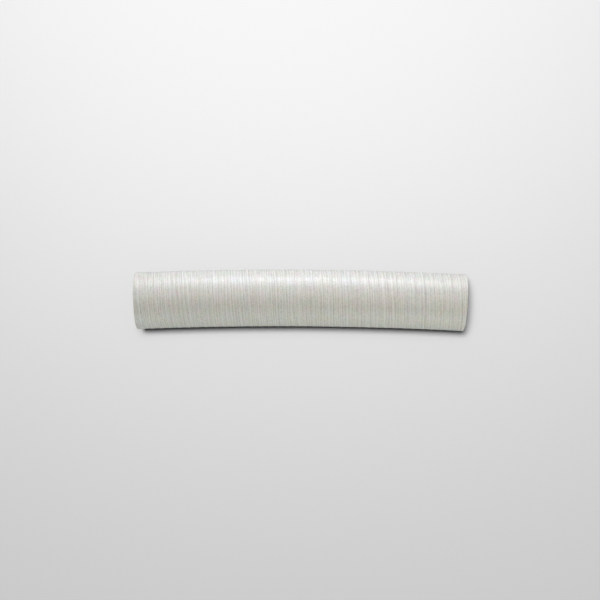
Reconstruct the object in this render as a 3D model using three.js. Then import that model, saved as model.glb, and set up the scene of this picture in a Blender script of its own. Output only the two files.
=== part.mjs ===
// A short length of flexible PVC hose: one soft tube with a hard helix fused into its wall.
// It was coiled for sale, so it keeps a slight bend. It lies on its side on a level surface,
// and the bend lies flat on that surface.
//
// Millimetres. +X runs along the hose, +Y points to the outside of the bend, +Z is up.
// The origin is at the middle of the bottom of the hose's box.

import * as THREE from "three";

// The hose's own sizes
const OUTSIDE_DIAMETER = 50;
const WALL_THICKNESS = 3.5;
const CENTRE_LINE_LENGTH = 288;
const BEND_RADIUS = 3080;

// How finely the round section and the bend are divided
const SECTION_SIDES = 48;
const BEND_STEPS = 12;

const HOSE_COLOUR = 0xd3d2c9;
const HOSE_ROUGHNESS = 0.42;

// A circle as a closed outline, with a corner at its lowest, highest, left and right points.
function circleOutline(diameter) {
  const outline = [];
  for (let side = 0; side < SECTION_SIDES; side++) {
    const angle = (2 * Math.PI * side) / SECTION_SIDES;
    const radius = diameter / 2;
    outline.push(new THREE.Vector2(radius * Math.cos(angle), radius * Math.sin(angle)));
  }
  return outline;
}

// The wall's section: the outside circle with the bore as its hole.
function wallSection() {
  const bore = OUTSIDE_DIAMETER - 2 * WALL_THICKNESS;
  const section = new THREE.Shape(circleOutline(OUTSIDE_DIAMETER));
  section.holes.push(new THREE.Path(circleOutline(bore)));
  return section;
}

// The centre line: an arc in the level plane, with its middle towards +Y.
class BendCurve extends THREE.Curve {
  getPoint(share, target = new THREE.Vector3()) {
    const angle = ((share - 0.5) * CENTRE_LINE_LENGTH) / BEND_RADIUS;
    const towardsMiddle = BEND_RADIUS * (Math.cos(angle) - 1);
    return target.set(BEND_RADIUS * Math.sin(angle), towardsMiddle, 0);
  }
}

function makeHose() {
  const geometry = new THREE.ExtrudeGeometry(wallSection(), {
    steps: BEND_STEPS,
    extrudePath: new BendCurve(),
  });
  const material = new THREE.MeshStandardMaterial({
    color: HOSE_COLOUR,
    roughness: HOSE_ROUGHNESS,
    metalness: 0,
  });
  const hose = new THREE.Mesh(geometry, material);
  hose.name = "hose";
  return hose;
}

// Moves a mesh so that the origin is at the middle of the bottom of its box.
function standOnOrigin(mesh) {
  const box = new THREE.Box3().setFromObject(mesh);
  const middle = box.getCenter(new THREE.Vector3());
  mesh.position.set(-middle.x, -middle.y, -box.min.z);
}

const model = new THREE.Group();
const hose = makeHose();
standOnOrigin(hose);
model.add(hose);

export default model;
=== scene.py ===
"""A short, slightly bent length of white flexible PVC hose, seen from above on a pale floor.

Everything is in metres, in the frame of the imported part: +X along the hose, +Y to the outside
of its bend, +Z up. "Along" is the distance from the hose's middle on its centre line, "angle"
is 0 towards +Y and a quarter turn at the top, and "radius" is the distance from the centre line.
"""

import math

import bpy
import numpy as np
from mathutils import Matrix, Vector


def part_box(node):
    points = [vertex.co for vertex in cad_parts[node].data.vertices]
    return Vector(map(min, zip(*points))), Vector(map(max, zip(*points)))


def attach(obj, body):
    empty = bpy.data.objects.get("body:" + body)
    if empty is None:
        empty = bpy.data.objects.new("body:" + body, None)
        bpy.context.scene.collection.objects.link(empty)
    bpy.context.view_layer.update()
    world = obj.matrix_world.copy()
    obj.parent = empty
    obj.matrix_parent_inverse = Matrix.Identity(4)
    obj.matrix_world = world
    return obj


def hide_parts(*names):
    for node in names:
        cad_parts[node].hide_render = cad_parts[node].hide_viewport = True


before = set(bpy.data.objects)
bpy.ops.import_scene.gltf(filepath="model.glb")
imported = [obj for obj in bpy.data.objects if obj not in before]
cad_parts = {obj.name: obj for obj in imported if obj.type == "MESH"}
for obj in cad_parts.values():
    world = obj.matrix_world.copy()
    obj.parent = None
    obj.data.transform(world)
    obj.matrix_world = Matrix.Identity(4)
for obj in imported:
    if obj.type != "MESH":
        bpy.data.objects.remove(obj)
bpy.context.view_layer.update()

MM = 0.001
TURN = 2 * math.pi

# The hose's sizes
CAD_LOW, CAD_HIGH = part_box("hose")
OUTER_RADIUS = (CAD_HIGH[2] - CAD_LOW[2]) / 2
WALL = 3.5 * MM
BORE_RADIUS = OUTER_RADIUS - WALL
LENGTH = 288 * MM
BEND_RADIUS = 3080 * MM
AXIS_HEIGHT = CAD_LOW[2] + OUTER_RADIUS
BEND_CENTRE_Y = CAD_HIGH[1] - OUTER_RADIUS - BEND_RADIUS

# The hard helix in the wall: one right-handed thread. Its widths are shares of the pitch
PITCH = 7.96 * MM
RIB_START = 0.12  # pitches from the hose's middle to a rib, on the side towards +Y
RIB_HALF_WIDTH = 0.15
RIB_HEIGHT = 0.18 * MM
GROOVE_HALF_WIDTH = 0.06
LEFT_GROOVE_DEPTH = 0.09 * MM
RIGHT_GROOVE_DEPTH = 0.15 * MM
FAINTEST = 0.55  # share of the grooves' depth that is left at the left end
BORE_RIB_HEIGHT = 0.12 * MM
HELIX_HALF_THICKNESS = 1.25 * MM

# The soft wall is a little uneven: (depth, waves along the hose, waves round it, start in turns)
SWELLS = (
    (0.05 * MM, 2.3, 2, 0.10),
    (0.03 * MM, 5.1, 1, 0.55),
    (0.02 * MM, 11.7, 3, 0.30),
)

# The cut ends. A blade leaves a face that isn't quite flat and a helix that stands proud in it
EDGE_ROUND = 0.3 * MM
SMALLEST_STEP = 0.06 * MM  # least distance from an end's rim to a wall's own points
HELIX_PROUD = 0.1 * MM
HELIX_EDGE = 1.15  # half thicknesses from the helix's middle to where it is no longer proud
HELIX_EDGE_WIDTH = 0.25  # half thicknesses over which it rises to its full height
CUT_WAVES = (  # (half depth, waves round, start in turns)
    (0.05 * MM, 2, 0.15),
    (0.03 * MM, 5, 0.70),
)
CUT_DEEPEST = HELIX_PROUD + 2 * sum(half_depth for half_depth, waves_round, start in CUT_WAVES)

# How finely the skin is divided. Rows lie at shares of the pitch from the middle of a rib
SIDES = 96
RIB_ROWS = (-0.08, -0.03, 0.03, 0.08)
GROOVE_ROWS = (-0.06, -0.035, -0.012, 0.012, 0.035, 0.06)  # from the middle of a groove
BAND_ROWS = (-0.46, -0.37, -0.29, 0.29, 0.37, 0.46)
BORE_ROWS = (-0.40, -0.20, 0.0, 0.20)
SPARE_TURNS = 2  # of the helix, beyond each end
EDGE_STEPS = 3  # round a rim
FACE_RINGS = 8  # across a cut face

# The hose's materials, in the order in which it gets them
OUTSIDE_SLOT, CUT_SLOT, BORE_SLOT = range(3)


def along_to_turn(along, angle):
    """Turns of the helix at a place: a whole number in the middle of a rib."""
    return along / PITCH - angle / TURN - RIB_START


def turn_from_rib(turn):
    """Signed share of a pitch from the middle of the nearest rib."""
    return (turn + 0.5) % 1 - 0.5


def notch(distance, half_width):
    """A smooth bump from 0 to 1 and back over twice the half width."""
    share = np.clip(np.abs(distance) / half_width, 0, 1)
    return 0.5 + 0.5 * np.cos(math.pi * share)


def swell(along, angle, wave):
    """One swell of the wall: how far it takes the skin into the wall."""
    depth, waves_along, waves_round, start = wave
    phase = TURN * (waves_along * along / LENGTH + start) + waves_round * angle
    return depth * (0.5 + 0.5 * np.cos(phase))


def unevenness(along, angle):
    """How far all swells take the skin into the wall."""
    return sum(swell(along, angle, wave) for wave in SWELLS)


def clearness(along):
    """Share of the grooves' depth at a place: they fade towards the hose's left end."""
    return FAINTEST + (1 - FAINTEST) * (along / LENGTH + 0.5)


def outer_radius(along, angle):
    """Radius of the outside, with its helical rib and the two grooves beside it."""
    from_rib = turn_from_rib(along_to_turn(along, angle))
    rib = RIB_HEIGHT * (notch(from_rib, 2 * RIB_HALF_WIDTH) - 1)
    left = LEFT_GROOVE_DEPTH * notch(from_rib + RIB_HALF_WIDTH, GROOVE_HALF_WIDTH)
    right = RIGHT_GROOVE_DEPTH * notch(from_rib - RIB_HALF_WIDTH, GROOVE_HALF_WIDTH)
    return OUTER_RADIUS + rib - clearness(along) * (left + right) - unevenness(along, angle)


def bore_radius(along, angle):
    """Radius of the bore, which the helix narrows a little."""
    from_rib = turn_from_rib(along_to_turn(along, angle))
    rib = BORE_RIB_HEIGHT * notch(from_rib, 2 * RIB_HALF_WIDTH)
    return BORE_RADIUS - rib + unevenness(along, angle)


def place(along, angle, radius):
    """Points in the frame for arrays of hose coordinates."""
    bend = along / BEND_RADIUS
    from_bend_centre = BEND_RADIUS + radius * np.cos(angle)
    x = from_bend_centre * np.sin(bend)
    y = BEND_CENTRE_Y + from_bend_centre * np.cos(bend)
    z = AXIS_HEIGHT + radius * np.sin(angle)
    return np.stack(np.broadcast_arrays(x, y, z), axis=-1)


def ring_angles():
    return TURN * np.arange(SIDES) / SIDES


class Skin:
    """The points and faces of a closed surface round the hose's centre line."""

    def __init__(self):
        self.points = []
        self.faces = []
        self.slots = []

    def add_point(self, point):
        self.points.append(point)
        return len(self.points) - 1

    def add_ring(self, along, radii):
        """One ring of points, closed by repeating its first point."""
        ring = [self.add_point(point) for point in place(along, ring_angles(), radii)]
        return ring + ring[:1]

    def add_face(self, corners, slot):
        """A face without its repeated corners, or none where fewer than three are left."""
        corners = list(dict.fromkeys(corners))
        if len(corners) > 2:
            self.faces.append(corners)
            self.slots.append(slot)

    def join(self, first, second, slot):
        """Joins two rows of points that go once round the hose."""
        for side in range(SIDES):
            corners = (first[side], first[side + 1], second[side + 1], second[side])
            self.add_face(corners, slot)

    def make_object(self, name):
        """The surface as an object in the scene."""
        mesh = bpy.data.meshes.new(name)
        mesh.from_pydata(self.points, [], self.faces)
        made = bpy.data.objects.new(name, mesh)
        bpy.context.collection.objects.link(made)
        return made


def helical_rows(phases):
    """Turns of the helix for every row of points, enough to pass both ends all the way round."""
    turns = math.ceil(LENGTH / 2 / PITCH) + SPARE_TURNS
    return [turn + phase for turn in range(-turns, turns + 1) for phase in sorted(phases)]


def wall_column(skin, rows, side, radius_at, rims):
    """One side's point in every row. Past an end, that is the point on the end's rim."""
    left_rim, right_rim = rims
    limit = LENGTH / 2 - CUT_DEEPEST - EDGE_ROUND - SMALLEST_STEP
    angle = TURN * side / SIDES
    along = PITCH * (np.array(rows) + RIB_START + side / SIDES)
    column = []
    for distance, point in zip(along, place(along, angle, radius_at(along, angle))):
        if distance < -limit:
            column.append(left_rim[side])
        elif distance > limit:
            column.append(right_rim[side])
        else:
            column.append(skin.add_point(point))
    return column


def add_wall(skin, phases, radius_at, rims, slot, inward):
    """A wall whose rows of points follow the helix and stop at the rims of the two ends."""
    rows = helical_rows(phases)
    grid = [wall_column(skin, rows, side, radius_at, rims) for side in range(SIDES)]
    first_on_right_rim = rims[1][0]
    one_turn_on = grid[0][len(phases):] + [first_on_right_rim] * len(phases)
    grid.append(one_turn_on)
    for row in range(len(rows) - 1):
        first = [column[row] for column in grid]
        second = [column[row + 1] for column in grid]
        if inward:
            first, second = second, first
        skin.join(first, second, slot)


def in_helix(side, radius):
    """1 inside the helix's section in a cut face, 0 outside it, with a soft edge."""
    turn = turn_from_rib(along_to_turn(side * LENGTH / 2, ring_angles()))
    from_middle = radius - (OUTER_RADIUS + BORE_RADIUS) / 2
    distance = np.hypot(turn * PITCH, from_middle) / HELIX_HALF_THICKNESS
    return np.clip((HELIX_EDGE - distance) / HELIX_EDGE_WIDTH, 0, 1)


def cut_depth(side, radius):
    """How far the cut face lies short of the hose's full length, round one ring."""
    depth = HELIX_PROUD * (1 - in_helix(side, radius))
    for half_depth, waves_round, start in CUT_WAVES:
        phase = waves_round * ring_angles() + TURN * start * side
        depth = depth + half_depth * (1 + np.cos(phase))
    return depth


def end_rings(outside, bore):
    """The rings of a cut end, outer rim to bore's rim: (distance past the rims, radii)."""
    turns = [math.pi / 2 * step / EDGE_STEPS for step in range(EDGE_STEPS + 1)]
    shares = [step / FACE_RINGS for step in range(1, FACE_RINGS)]
    outer = [(EDGE_ROUND * math.sin(t), outside - EDGE_ROUND * (1 - math.cos(t))) for t in turns]
    inner = [(EDGE_ROUND * math.sin(t), bore + EDGE_ROUND * (1 - math.cos(t))) for t in turns]
    start, end = outer[-1][1], inner[-1][1]
    face = [(EDGE_ROUND, start * (1 - share) + end * share) for share in shares]
    return outer + face + inner[::-1]


def add_end(skin, side):
    """One cut end, the left one at side -1 and the right one at 1. Returns its two rims."""
    rim = LENGTH / 2 - EDGE_ROUND
    outside = outer_radius(side * rim, ring_angles())
    bore = bore_radius(side * rim, ring_angles())
    made = []
    for distance, radii in end_rings(outside, bore):
        along = rim + distance - cut_depth(side, radii)
        made.append(skin.add_ring(side * along, radii))
    for first, second in zip(made, made[1:]):
        if side < 0:
            first, second = second, first
        skin.join(first, second, CUT_SLOT)
    return made[0], made[-1]


def make_hose():
    skin = Skin()
    outer_rims, bore_rims = zip(add_end(skin, -1), add_end(skin, 1))
    grooves = [row + edge for row in GROOVE_ROWS for edge in (-RIB_HALF_WIDTH, RIB_HALF_WIDTH)]
    outside_rows = [*grooves, *RIB_ROWS, *BAND_ROWS]
    add_wall(skin, outside_rows, outer_radius, outer_rims, OUTSIDE_SLOT, inward=False)
    add_wall(skin, BORE_ROWS, bore_radius, bore_rims, BORE_SLOT, inward=True)
    hose = skin.make_object("flexible_hose")
    hose.data.polygons.foreach_set("material_index", skin.slots)
    hose.data.polygons.foreach_set("use_smooth", [True] * len(skin.faces))
    hose.data.update()
    return hose


# Sockets that the Mix node uses for colours
MIX_FACTOR, MIX_A, MIX_B, MIX_COLOUR = 0, 6, 7, 2


def rgba(colour):
    """A colour with its alpha. A node's output stays as it is."""
    return (*colour, 1) if isinstance(colour, tuple) else colour


def grey(value):
    return rgba((value, value, value))


class Nodes:
    """Adds nodes to a material. Every value may be a number, a colour or another node's output."""

    def __init__(self, name):
        self.material = bpy.data.materials.new(name)
        self.material.use_nodes = True
        self.tree = self.material.node_tree
        self.shader = self.tree.nodes["Principled BSDF"]

    def feed(self, socket, value):
        if isinstance(value, bpy.types.NodeSocket):
            self.tree.links.new(value, socket)
        else:
            socket.default_value = value

    def add(self, kind, inputs, output=0, **settings):
        node = self.tree.nodes.new(kind)
        for name, value in settings.items():
            setattr(node, name, value)
        for socket, value in inputs.items():
            self.feed(node.inputs[socket], value)
        return node.outputs[output]

    def math(self, operation, *values):
        return self.add("ShaderNodeMath", dict(enumerate(values)), operation=operation)

    def hypotenuse(self, first, second):
        """The root of the sum of two squares."""
        squares = self.math("MULTIPLY_ADD", first, first, self.math("POWER", second, 2.0))
        return self.math("SQRT", squares)

    def combine(self, x, y, z):
        return self.add("ShaderNodeCombineXYZ", {0: x, 1: y, 2: z})

    def mix(self, factor, first, second):
        """A colour from first to second."""
        inputs = {MIX_FACTOR: factor, MIX_A: rgba(first), MIX_B: rgba(second)}
        return self.add("ShaderNodeMix", inputs, MIX_COLOUR, data_type="RGBA")

    def spread(self, value, low, high, to_low, to_high):
        """Maps a value from one range to another, and stops at its ends."""
        inputs = dict(enumerate((value, low, high, to_low, to_high)))
        return self.add("ShaderNodeMapRange", inputs, interpolation_type="SMOOTHSTEP")

    def amount(self, value, span, most=1.0):
        """0 at the start of a span of values, rising smoothly to most at its end."""
        return self.spread(value, *span, 0.0, most)

    def noise(self, vector, scale, detail=2.0, w=None):
        """Smooth noise from about 0.25 to 0.75, of three coordinates or of four."""
        inputs = {"Vector": vector, "Scale": scale, "Detail": detail}
        if w is None:
            return self.add("ShaderNodeTexNoise", inputs)
        return self.add("ShaderNodeTexNoise", {**inputs, "W": w}, noise_dimensions="4D")

    def bump(self, height, strength, distance):
        inputs = {"Height": height, "Strength": strength, "Distance": distance}
        return self.add("ShaderNodeBump", inputs)

    def set(self, **values):
        """Sets the shader's sockets: an underscore stands for a space."""
        for name, value in values.items():
            self.feed(self.shader.inputs[name.replace("_", " ")], value)


class HoseNodes(Nodes):
    """A material that knows where on the hose it is: its coordinates and its turn of the helix."""

    def __init__(self, name):
        super().__init__(name)
        self.point = self.add("ShaderNodeTexCoord", {}, "Object")
        axes = self.tree.nodes.new("ShaderNodeSeparateXYZ")
        self.feed(axes.inputs[0], self.point)
        x, y, z = axes.outputs
        from_bend_centre = self.math("SUBTRACT", y, BEND_CENTRE_Y)
        bend = self.math("ARCTAN2", x, from_bend_centre)
        self.along = self.math("MULTIPLY", bend, BEND_RADIUS)
        sideways = self.math("SUBTRACT", self.hypotenuse(x, from_bend_centre), BEND_RADIUS)
        upward = self.math("SUBTRACT", z, AXIS_HEIGHT)
        self.angle = self.math("ARCTAN2", upward, sideways)
        self.radius = self.hypotenuse(upward, sideways)
        self.turns = self.turns_of_helix()
        self.from_rib = self.share_from_rib()

    def turns_of_helix(self):
        """The same number as along_to_turn gives."""
        round_share = self.math("DIVIDE", self.angle, TURN)
        lengthwise = self.math("DIVIDE", self.along, PITCH)
        return self.math("SUBTRACT", self.math("SUBTRACT", lengthwise, round_share), RIB_START)

    def share_from_rib(self):
        """The same number as turn_from_rib gives."""
        return self.math("SUBTRACT", self.math("FRACT", self.math("ADD", self.turns, 0.5)), 0.5)

    def line(self, middle, half_width):
        """1 on a line that runs with the helix, falling to 0 at its edges."""
        away = self.math("ABSOLUTE", self.math("SUBTRACT", self.from_rib, middle))
        return self.spread(away, 0.0, half_width, 1.0, 0.0)

    def streaks(self, fineness, breaks, drift, detail=2.0):
        """Noise drawn out along the helix.

        It has about fineness streaks a pitch, changes breaks times on the way round the hose,
        and drift times in a metre of its length.
        """
        phase = self.math("MULTIPLY", self.turns, TURN)
        across = fineness / TURN
        round_hose = breaks / TURN
        vector = self.combine(
            self.math("MULTIPLY", self.math("COSINE", phase), across),
            self.math("MULTIPLY", self.math("SINE", phase), across),
            self.math("MULTIPLY", self.math("COSINE", self.angle), round_hose),
        )
        sine = self.math("MULTIPLY", self.math("SINE", self.angle), round_hose)
        w = self.math("MULTIPLY_ADD", self.along, drift, sine)
        return self.noise(vector, 1.0, detail, w)

    def threads(self, count, shift):
        """A wave from -1 to 1 with so many crests a pitch, moved along by a shift in radians."""
        phase = self.math("MULTIPLY_ADD", self.turns, TURN * count, shift)
        return self.math("SINE", phase)


# Colours of the PVC, as linear red, green and blue
CREAM = (0.660, 0.631, 0.528)
COOL_GREY = (0.617, 0.632, 0.616)
PINK_WHITE = (0.694, 0.614, 0.605)
GREEN_WHITE = (0.598, 0.649, 0.552)
# Hard white marks in the PVC, also painted as a highlight on the rib's seam
HARD_WHITE_AND_HIGHLIGHT = (0.730, 0.725, 0.680)
BORE_WHITE = (0.680, 0.680, 0.640)
CUT_HELIX_WHITE = (0.80, 0.80, 0.77)
BORE_HELIX_WHITE = (0.76, 0.76, 0.73)
# Dust on the PVC, also painted as shade in the grooves
DUST_AND_SHADE = (0.42, 0.40, 0.37)

# Light goes a little way into PVC, the red part farthest
PVC_DEPTH = {
    "Subsurface_Weight": 0.12,
    "Subsurface_Radius": (1.0, 0.85, 0.7),
    "Subsurface_Scale": 2 * MM,
}

# In the materials below, a span gives the values of a pattern where an effect starts and where
# it is full. An amount is the share of a colour that is laid over the colours before it

# The soft PVC's own tints
COOL_SPAN = (0.38, 0.66)
PINK_SPAN = (0.50, 0.66)
GREEN_SPAN = (0.50, 0.34)
TINT_AMOUNT = 0.9

# Die lines and speckle on the outside
HIGH_SPAN = (0.50, 0.70)
LOW_SPAN = (0.50, 0.30)
LINE_DUST_AMOUNT = 0.45
LINE_WHITE_AMOUNT = 0.75
SPECKLE_DUST_AMOUNT = 0.45
SPECKLE_WHITE_AMOUNT = 0.90

# Threads on the outside
THREADS_PER_PITCH = 4
THREAD_WANDER = 30.0  # radians that a thread would move from noise of 0 to noise of 1
THREAD_CLEAR_SPAN = (0.35, 0.65)
THREAD_CLEARNESS = (0.6, 1.3)
CREST_SPAN = (0.1, 1.0)
TROUGH_SPAN = (-0.1, -1.0)
CREST_DUST_AMOUNT = 0.27
TROUGH_WHITE_AMOUNT = 0.72

# Painted shade in the grooves and a painted highlight on the rib's seam, both in dashes. Widths and
# places are in pitches
RIGHT_GROOVE_SHADE_HALF_WIDTH = 0.15
LEFT_GROOVE_SHADE_HALF_WIDTH = 0.09
LEFT_GROOVE_SHADE_SHARE = 0.45
GROOVE_SHADE_SPAN = (0.38, 0.66)
GROOVE_SHADE_AMOUNTS = (0.12, 0.42)
SEAM_HIGHLIGHT_PLACE = -0.03
SEAM_HIGHLIGHT_HALF_WIDTH = 0.07
SEAM_HIGHLIGHT_SPAN = (0.66, 0.36)
SEAM_HIGHLIGHT_AMOUNTS = (0.3, 0.8)

# Roughness and relief of the outside
SHEEN_SPAN = (0.3, 0.7)
OUTSIDE_ROUGHNESS = (0.35, 0.43)
SEAM_ADDED_ROUGHNESS = 0.25
GRAIN_SHARE = 0.5
LINE_RELIEF = 0.05 * MM  # of die lines, also in the bore


def tinted_pvc(nodes):
    """The soft PVC's uneven colour: cream, with cooler, pinker and greener places."""
    cool = nodes.noise(nodes.point, scale=90.0)
    tint = nodes.noise(nodes.point, scale=150.0)
    colour = nodes.mix(nodes.amount(cool, COOL_SPAN), CREAM, COOL_GREY)
    colour = nodes.mix(nodes.amount(tint, PINK_SPAN, TINT_AMOUNT), colour, PINK_WHITE)
    return nodes.mix(nodes.amount(tint, GREEN_SPAN, TINT_AMOUNT), colour, GREEN_WHITE)


def wandering_threads(nodes, broad_lines):
    """Threads that sway slowly from side to side and are clearer in some places."""
    wander = nodes.streaks(fineness=1, breaks=1, drift=60.0)
    threads = nodes.threads(THREADS_PER_PITCH, nodes.math("MULTIPLY", wander, THREAD_WANDER))
    clear = nodes.spread(broad_lines, *THREAD_CLEAR_SPAN, *THREAD_CLEARNESS)
    return nodes.math("MULTIPLY", threads, clear)


def painted_groove_shade(nodes, dashes):
    """Painted shade in dashes along the grooves, faintest at the hose's left end."""
    clear = nodes.spread(nodes.along, -LENGTH / 2, LENGTH / 2, FAINTEST, 1.0)
    right_groove = nodes.math("MULTIPLY", nodes.line(RIB_HALF_WIDTH, RIGHT_GROOVE_SHADE_HALF_WIDTH), clear)
    left_groove = nodes.line(-RIB_HALF_WIDTH, LEFT_GROOVE_SHADE_HALF_WIDTH)
    grooves = nodes.math("MULTIPLY_ADD", left_groove, LEFT_GROOVE_SHADE_SHARE, right_groove)
    return nodes.math("MULTIPLY", grooves, nodes.spread(dashes, *GROOVE_SHADE_SPAN, *GROOVE_SHADE_AMOUNTS))


def rib_seam_highlight(nodes, dashes):
    """A seam in dashes along the rib, where a highlight is painted."""
    seam_highlight = nodes.line(SEAM_HIGHLIGHT_PLACE, SEAM_HIGHLIGHT_HALF_WIDTH)
    return nodes.math("MULTIPLY", seam_highlight, nodes.spread(dashes, *SEAM_HIGHLIGHT_SPAN, *SEAM_HIGHLIGHT_AMOUNTS))


def outside_colour(nodes, fine_lines, threads, seam_highlight, groove_shade):
    """The tinted PVC with its lines, speckle and threads, then the seam's painted highlight and the
    grooves' painted shade laid over it in turn.
    """
    speckle = nodes.noise(nodes.point, scale=850.0)
    layers = (
        (nodes.amount(fine_lines, HIGH_SPAN, LINE_DUST_AMOUNT), DUST_AND_SHADE),
        (nodes.amount(fine_lines, LOW_SPAN, LINE_WHITE_AMOUNT), HARD_WHITE_AND_HIGHLIGHT),
        (nodes.amount(speckle, HIGH_SPAN, SPECKLE_DUST_AMOUNT), DUST_AND_SHADE),
        (nodes.amount(speckle, LOW_SPAN, SPECKLE_WHITE_AMOUNT), HARD_WHITE_AND_HIGHLIGHT),
        (nodes.amount(threads, CREST_SPAN, CREST_DUST_AMOUNT), DUST_AND_SHADE),
        (nodes.amount(threads, TROUGH_SPAN, TROUGH_WHITE_AMOUNT), HARD_WHITE_AND_HIGHLIGHT),
        # Last, a painted highlight on the seam and painted shade in the grooves
        (seam_highlight, HARD_WHITE_AND_HIGHLIGHT),
        (groove_shade, DUST_AND_SHADE),
    )
    colour = tinted_pvc(nodes)
    for amount, layer in layers:
        colour = nodes.mix(amount, colour, layer)
    return colour


def outside_material():
    """Extruded soft PVC: die lines along the helix, painted shade in the grooves, a duller seam
    with a painted highlight.
    """
    nodes = HoseNodes("hose_outside")
    fine_lines = nodes.streaks(fineness=24, breaks=12, drift=130.0)
    broad_lines = nodes.streaks(fineness=8, breaks=7, drift=150.0, detail=1.0)
    dashes = nodes.streaks(fineness=3, breaks=26, drift=160.0)
    threads = wandering_threads(nodes, broad_lines)
    # The rib's seam: duller, and with a painted highlight
    seam_highlight = rib_seam_highlight(nodes, dashes)
    # Painted shade in the grooves
    groove_shade = painted_groove_shade(nodes, dashes)
    sheen = nodes.spread(broad_lines, *SHEEN_SPAN, *OUTSIDE_ROUGHNESS)
    grain = nodes.noise(nodes.point, scale=1400.0)
    relief = nodes.math("MULTIPLY_ADD", grain, GRAIN_SHARE, fine_lines)
    nodes.set(
        Base_Color=outside_colour(nodes, fine_lines, threads, seam_highlight, groove_shade),
        Roughness=nodes.math("MULTIPLY_ADD", seam_highlight, SEAM_ADDED_ROUGHNESS, sheen),
        Normal=nodes.bump(relief, strength=0.5, distance=LINE_RELIEF),
        **PVC_DEPTH,
    )
    return nodes.material


# The cut faces
CUT_HELIX_SPAN = (0.92, 1.04)  # half thicknesses from the helix's middle
CUT_HELIX_AMOUNT = 0.85
SCORE_DIRECTION = (0.0, 0.16, 1.0)  # how quickly the scores change along X, Y and Z
SCORE_SPAN = (0.50, 0.75)
SCORE_DUST_AMOUNT = 0.35
TORN_SPAN = (0.35, 0.70)
TORN_AMOUNT = 0.5
TORN_SHARE = 0.6
CUT_ROUGHNESS = 0.62
CUT_HELIX_ROUGHNESS = 0.40
CUT_RELIEF = 0.12 * MM


def helix_in_cut(nodes):
    """1 on the helix's section in a cut face, 0 beside it."""
    lengthwise = nodes.math("MULTIPLY", nodes.from_rib, PITCH)
    from_middle = nodes.math("SUBTRACT", nodes.radius, (OUTER_RADIUS + BORE_RADIUS) / 2)
    away = nodes.math("DIVIDE", nodes.hypotenuse(lengthwise, from_middle), HELIX_HALF_THICKNESS)
    return nodes.spread(away, *CUT_HELIX_SPAN, 1.0, 0.0)


def saw_scores(nodes):
    """Noise drawn out sideways, as a blade scores the face."""
    inputs = {0: nodes.point, 1: SCORE_DIRECTION}
    stretched = nodes.add("ShaderNodeVectorMath", inputs, operation="MULTIPLY")
    return nodes.noise(stretched, scale=2600.0, detail=3.0)


def cut_material():
    """The sawn wall: scored across, with the hard helix showing whiter and smoother in it."""
    nodes = HoseNodes("hose_cut")
    helix = helix_in_cut(nodes)
    scores = saw_scores(nodes)
    torn = nodes.noise(nodes.point, scale=700.0, detail=4.0)
    colour = nodes.mix(nodes.amount(torn, TORN_SPAN, TORN_AMOUNT), CREAM, COOL_GREY)
    colour = nodes.mix(nodes.amount(scores, SCORE_SPAN, SCORE_DUST_AMOUNT), colour, DUST_AND_SHADE)
    colour = nodes.mix(nodes.math("MULTIPLY", helix, CUT_HELIX_AMOUNT), colour, CUT_HELIX_WHITE)
    relief = nodes.math("MULTIPLY_ADD", torn, TORN_SHARE, scores)
    nodes.set(
        Base_Color=colour,
        Roughness=nodes.spread(helix, 0.0, 1.0, CUT_ROUGHNESS, CUT_HELIX_ROUGHNESS),
        Normal=nodes.bump(relief, strength=0.6, distance=CUT_RELIEF),
        **PVC_DEPTH,
    )
    return nodes.material


# The bore
BORE_HELIX_HALF_WIDTH = 0.24  # in pitches
BORE_HELIX_AMOUNT = 0.6
CLOUD_SPAN = (0.35, 0.65)
CLOUD_AMOUNT = 0.5
BORE_LINE_SPAN = (0.5, 0.8)
BORE_LINE_DUST_AMOUNT = 0.25
BORE_ROUGHNESS = (0.42, 0.52)


def bore_material():
    """The smooth bore: the helix shows through as a whiter band."""
    nodes = HoseNodes("hose_bore")
    helix = nodes.line(0.0, BORE_HELIX_HALF_WIDTH)
    die_lines = nodes.streaks(fineness=6, breaks=5, drift=90.0)
    cloud = nodes.noise(nodes.point, scale=60.0)
    colour = nodes.mix(nodes.amount(cloud, CLOUD_SPAN, CLOUD_AMOUNT), BORE_WHITE, COOL_GREY)
    colour = nodes.mix(nodes.math("MULTIPLY", helix, BORE_HELIX_AMOUNT), colour, BORE_HELIX_WHITE)
    colour = nodes.mix(nodes.amount(die_lines, BORE_LINE_SPAN, BORE_LINE_DUST_AMOUNT), colour, DUST_AND_SHADE)
    nodes.set(
        Base_Color=colour,
        Roughness=nodes.spread(die_lines, *SHEEN_SPAN, *BORE_ROUGHNESS),
        Normal=nodes.bump(die_lines, strength=0.4, distance=LINE_RELIEF),
        **PVC_DEPTH,
    )
    return nodes.material


# The photograph's view: 600 pixels wide, the hose 57 of them across, from straight above
PHOTO_PIXELS = 600
HOSE_PIXELS = 57.0
SENSOR = 36 * MM
LENS = 82 * MM
CAMERA_DISTANCE = LENS / SENSOR * PHOTO_PIXELS / HOSE_PIXELS * 2 * OUTER_RADIUS
VIEW_CENTRE = (-0.4 * MM, -0.1 * MM)
CAMERA_ROLL = math.radians(0.345)


def make_camera():
    data = bpy.data.cameras.new("camera")
    data.lens = LENS / MM
    data.sensor_width = SENSOR / MM
    camera = bpy.data.objects.new("camera", data)
    camera.location = (*VIEW_CENTRE, AXIS_HEIGHT + CAMERA_DISTANCE)
    camera.rotation_euler = (0, 0, CAMERA_ROLL)
    bpy.context.collection.objects.link(camera)
    bpy.context.scene.camera = camera


# Kinds of light ray that a thing can be hidden from
RAYS = ("camera", "diffuse", "glossy", "transmission", "volume_scatter", "shadow")

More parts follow.
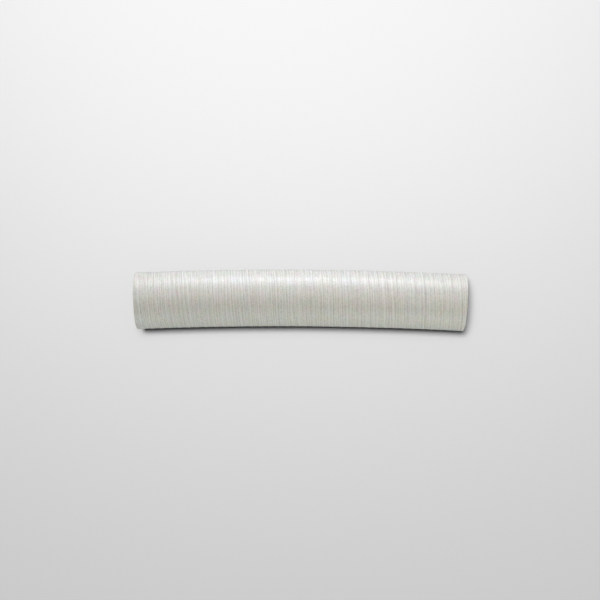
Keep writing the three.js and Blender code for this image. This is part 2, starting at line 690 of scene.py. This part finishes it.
# The floor, and a pale dome that ends low views without a dark horizon
FLOOR_SIZE = 12.0
FLOOR_GREY = 0.8
FLOOR_ROUGHNESS = 0.9
BACKDROP_RADIUS = 5.9
BACKDROP_SEGMENTS = 64
BACKDROP_RINGS = 32
BACKDROP_GREY = 0.52

# The flag: a black skin just off the hose
FLAG_GAP = 0.2 * MM
FLAG_RINGS = 25


def show_only_to(ray, thing):
    """Hides a thing from every kind of ray but one."""
    for kind in RAYS:
        setattr(thing, "visible_" + kind, kind == ray)


def make_floor():
    bpy.ops.mesh.primitive_plane_add(size=FLOOR_SIZE)
    floor = bpy.context.object
    floor.name = "floor"
    nodes = Nodes("floor")
    nodes.set(Base_Color=grey(FLOOR_GREY), Roughness=FLOOR_ROUGHNESS)
    floor.data.materials.append(nodes.material)
    floor.visible_glossy = False  # so that the hose's edges stay darker than its middle
    return floor


def make_backdrop():
    bpy.ops.mesh.primitive_uv_sphere_add(
        radius=BACKDROP_RADIUS,
        segments=BACKDROP_SEGMENTS,
        ring_count=BACKDROP_RINGS,
    )
    backdrop = bpy.context.object
    backdrop.name = "backdrop"
    nodes = Nodes("backdrop")
    nodes.set(Base_Color=grey(0), Emission_Color=grey(BACKDROP_GREY), Emission_Strength=1.0)
    backdrop.data.materials.append(nodes.material)
    show_only_to("camera", backdrop)


def flag_material():
    """Black from outside, clear from inside."""
    nodes = Nodes("flag")
    nodes.set(Base_Color=grey(0), Roughness=1.0, Specular_IOR_Level=0.0)
    inner_side = nodes.add("ShaderNodeNewGeometry", {}, "Backfacing")
    clear = nodes.add("ShaderNodeBsdfTransparent", {})
    sides = nodes.add("ShaderNodeMixShader", {0: inner_side, 1: nodes.shader.outputs[0], 2: clear})
    nodes.feed(nodes.tree.nodes["Material Output"].inputs["Surface"], sides)
    return nodes.material


def make_flag():
    """Stops the light that the hose's sides would throw on the floor.

    Only scattered light meets the flag, and from its inner side that passes through.
    """
    skin = Skin()
    radii = np.full(SIDES, OUTER_RADIUS + FLAG_GAP)
    reach = LENGTH / 2 + FLAG_GAP
    rings = [skin.add_ring(along, radii) for along in np.linspace(-reach, reach, FLAG_RINGS)]
    for first, second in zip(rings, rings[1:]):
        skin.join(first, second, 0)
    skin.add_face(rings[-1], 0)
    skin.add_face(rings[0][::-1], 0)
    flag = skin.make_object("flag")
    flag.data.materials.append(flag_material())
    show_only_to("diffuse", flag)


# Soft boxes on the hose
KEY_DISTANCE = 0.8
KEY_SIZE = (0.5, 0.28)
FILL_DISTANCE = 1.2
FILL_SHIFT = 0.4
LOW_FILL_SIZE = (0.5, 0.84)
HOSE_LAMPS = (  # (name, degrees from above, place along X, distance, size, power, colour)
    ("low_key", 80, 0.0, KEY_DISTANCE, KEY_SIZE, 4.1, (0.95, 0.98, 1.07)),
    ("high_key", 60, 0.0, KEY_DISTANCE, KEY_SIZE, 1.8, (0.94, 0.99, 1.07)),
    ("top_fill", 20, 0.0, FILL_DISTANCE, (1.3, 0.42), 3.2, (1.06, 1.0, 0.95)),
    ("front_fill", -20, FILL_SHIFT, FILL_DISTANCE, (0.5, 1.2), 4.1, (1.07, 1.0, 0.93)),
    ("low_fill_left", -70, -FILL_SHIFT, FILL_DISTANCE, LOW_FILL_SIZE, 1.6, (0.79, 1.07, 1.15)),
    ("low_fill_right", -70, FILL_SHIFT, FILL_DISTANCE, LOW_FILL_SIZE, 4.3, (0.98, 1.03, 0.98)),
)

# A low, wide soft box beyond each end, for its cut face and the bore
END_LAMP_DISTANCE = 1.2
END_LAMP_HEIGHT = 0.12
END_LAMP_SIZE = (1.0, 0.3)
END_LAMP_POWER = 2.0
WHITE = (1, 1, 1)

# The sun on the floor, whose disc of so many degrees softens the hose's shadow
SUN_DIRECTION = (0.13, -0.15, -1)
SUN_DISC = 13.5
SUN_STRENGTH = 1.99

# Pools of light on the floor
SPOT_HEIGHT = 1.2
FLOOR_SPOTS = (  # (name, place, degrees across, power)
    ("floor_spot", (-0.094, 0.18, SPOT_HEIGHT), 90, 18),
    ("far_floor_spot", (-0.06, 0.45, SPOT_HEIGHT), 60, 11.7),
)
SPOT_TARGET = (0, 0.5, 0)
SPOT_RADIUS = 0.14

# Faint light from all round
WORLD_GREY = 0.06


def only(lit):
    """A collection that limits a lamp to one object."""
    collection = bpy.data.collections.new("lit_" + lit.name)
    collection.objects.link(lit)
    return collection


def add_lamp(name, data, location, target, lit):
    """A lamp at a place, turned to its target, that lights only one collection."""
    lamp = bpy.data.objects.new(name, data)
    lamp.location = location
    aim = Vector(target) - Vector(location)
    lamp.rotation_euler = aim.to_track_quat("-Z", "Y").to_euler()
    lamp.light_linking.receiver_collection = lit
    bpy.context.collection.objects.link(lamp)


def add_soft_box(name, location, size, power, colour, lit):
    """A lamp that shines from a rectangle, turned to the hose's middle."""
    data = bpy.data.lights.new(name, "AREA")
    data.shape = "RECTANGLE"
    data.size, data.size_y = size
    data.energy = power
    data.color = colour
    add_lamp(name, data, location, (0, 0, AXIS_HEIGHT), lit)


def beside_hose(degrees, sideways, distance):
    """A lamp's place: degrees from straight above, towards +Y."""
    turn = math.radians(degrees)
    return (sideways, distance * math.sin(turn), AXIS_HEIGHT + distance * math.cos(turn))


def light_hose(lit):
    for name, degrees, sideways, distance, size, power, colour in HOSE_LAMPS:
        add_soft_box(name, beside_hose(degrees, sideways, distance), size, power, colour, lit)
    for side in (-1, 1):
        beyond_end = (side * END_LAMP_DISTANCE, 0, END_LAMP_HEIGHT)
        add_soft_box("end_lamp", beyond_end, END_LAMP_SIZE, END_LAMP_POWER, WHITE, lit)


def add_floor_sun(lit):
    data = bpy.data.lights.new("floor_sun", "SUN")
    data.angle = math.radians(SUN_DISC)
    data.energy = SUN_STRENGTH
    add_lamp("floor_sun", data, -Vector(SUN_DIRECTION), (0, 0, 0), lit)


def add_floor_spot(name, location, degrees, power, lit):
    """A pool of light with a soft edge."""
    data = bpy.data.lights.new(name, "SPOT")
    data.energy = power
    data.spot_size = math.radians(degrees)
    data.spot_blend = 1.0
    data.shadow_soft_size = SPOT_RADIUS
    add_lamp(name, data, location, SPOT_TARGET, lit)


def light_floor(lit):
    add_floor_sun(lit)
    for name, location, degrees, power in FLOOR_SPOTS:
        add_floor_spot(name, location, degrees, power, lit)


def make_world():
    world = bpy.data.worlds.new("world")
    bpy.context.scene.world = world
    world.use_nodes = True
    world.node_tree.nodes["Background"].inputs["Color"].default_value = grey(WORLD_GREY)
    bpy.context.scene.view_settings.view_transform = "Standard"


make_camera()
hose = make_hose()
for material in (outside_material(), cut_material(), bore_material()):
    hose.data.materials.append(material)
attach(hose, "root")
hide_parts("hose")
floor = make_floor()
light_hose(only(hose))
light_floor(only(floor))
make_world()
make_backdrop()
make_flag()
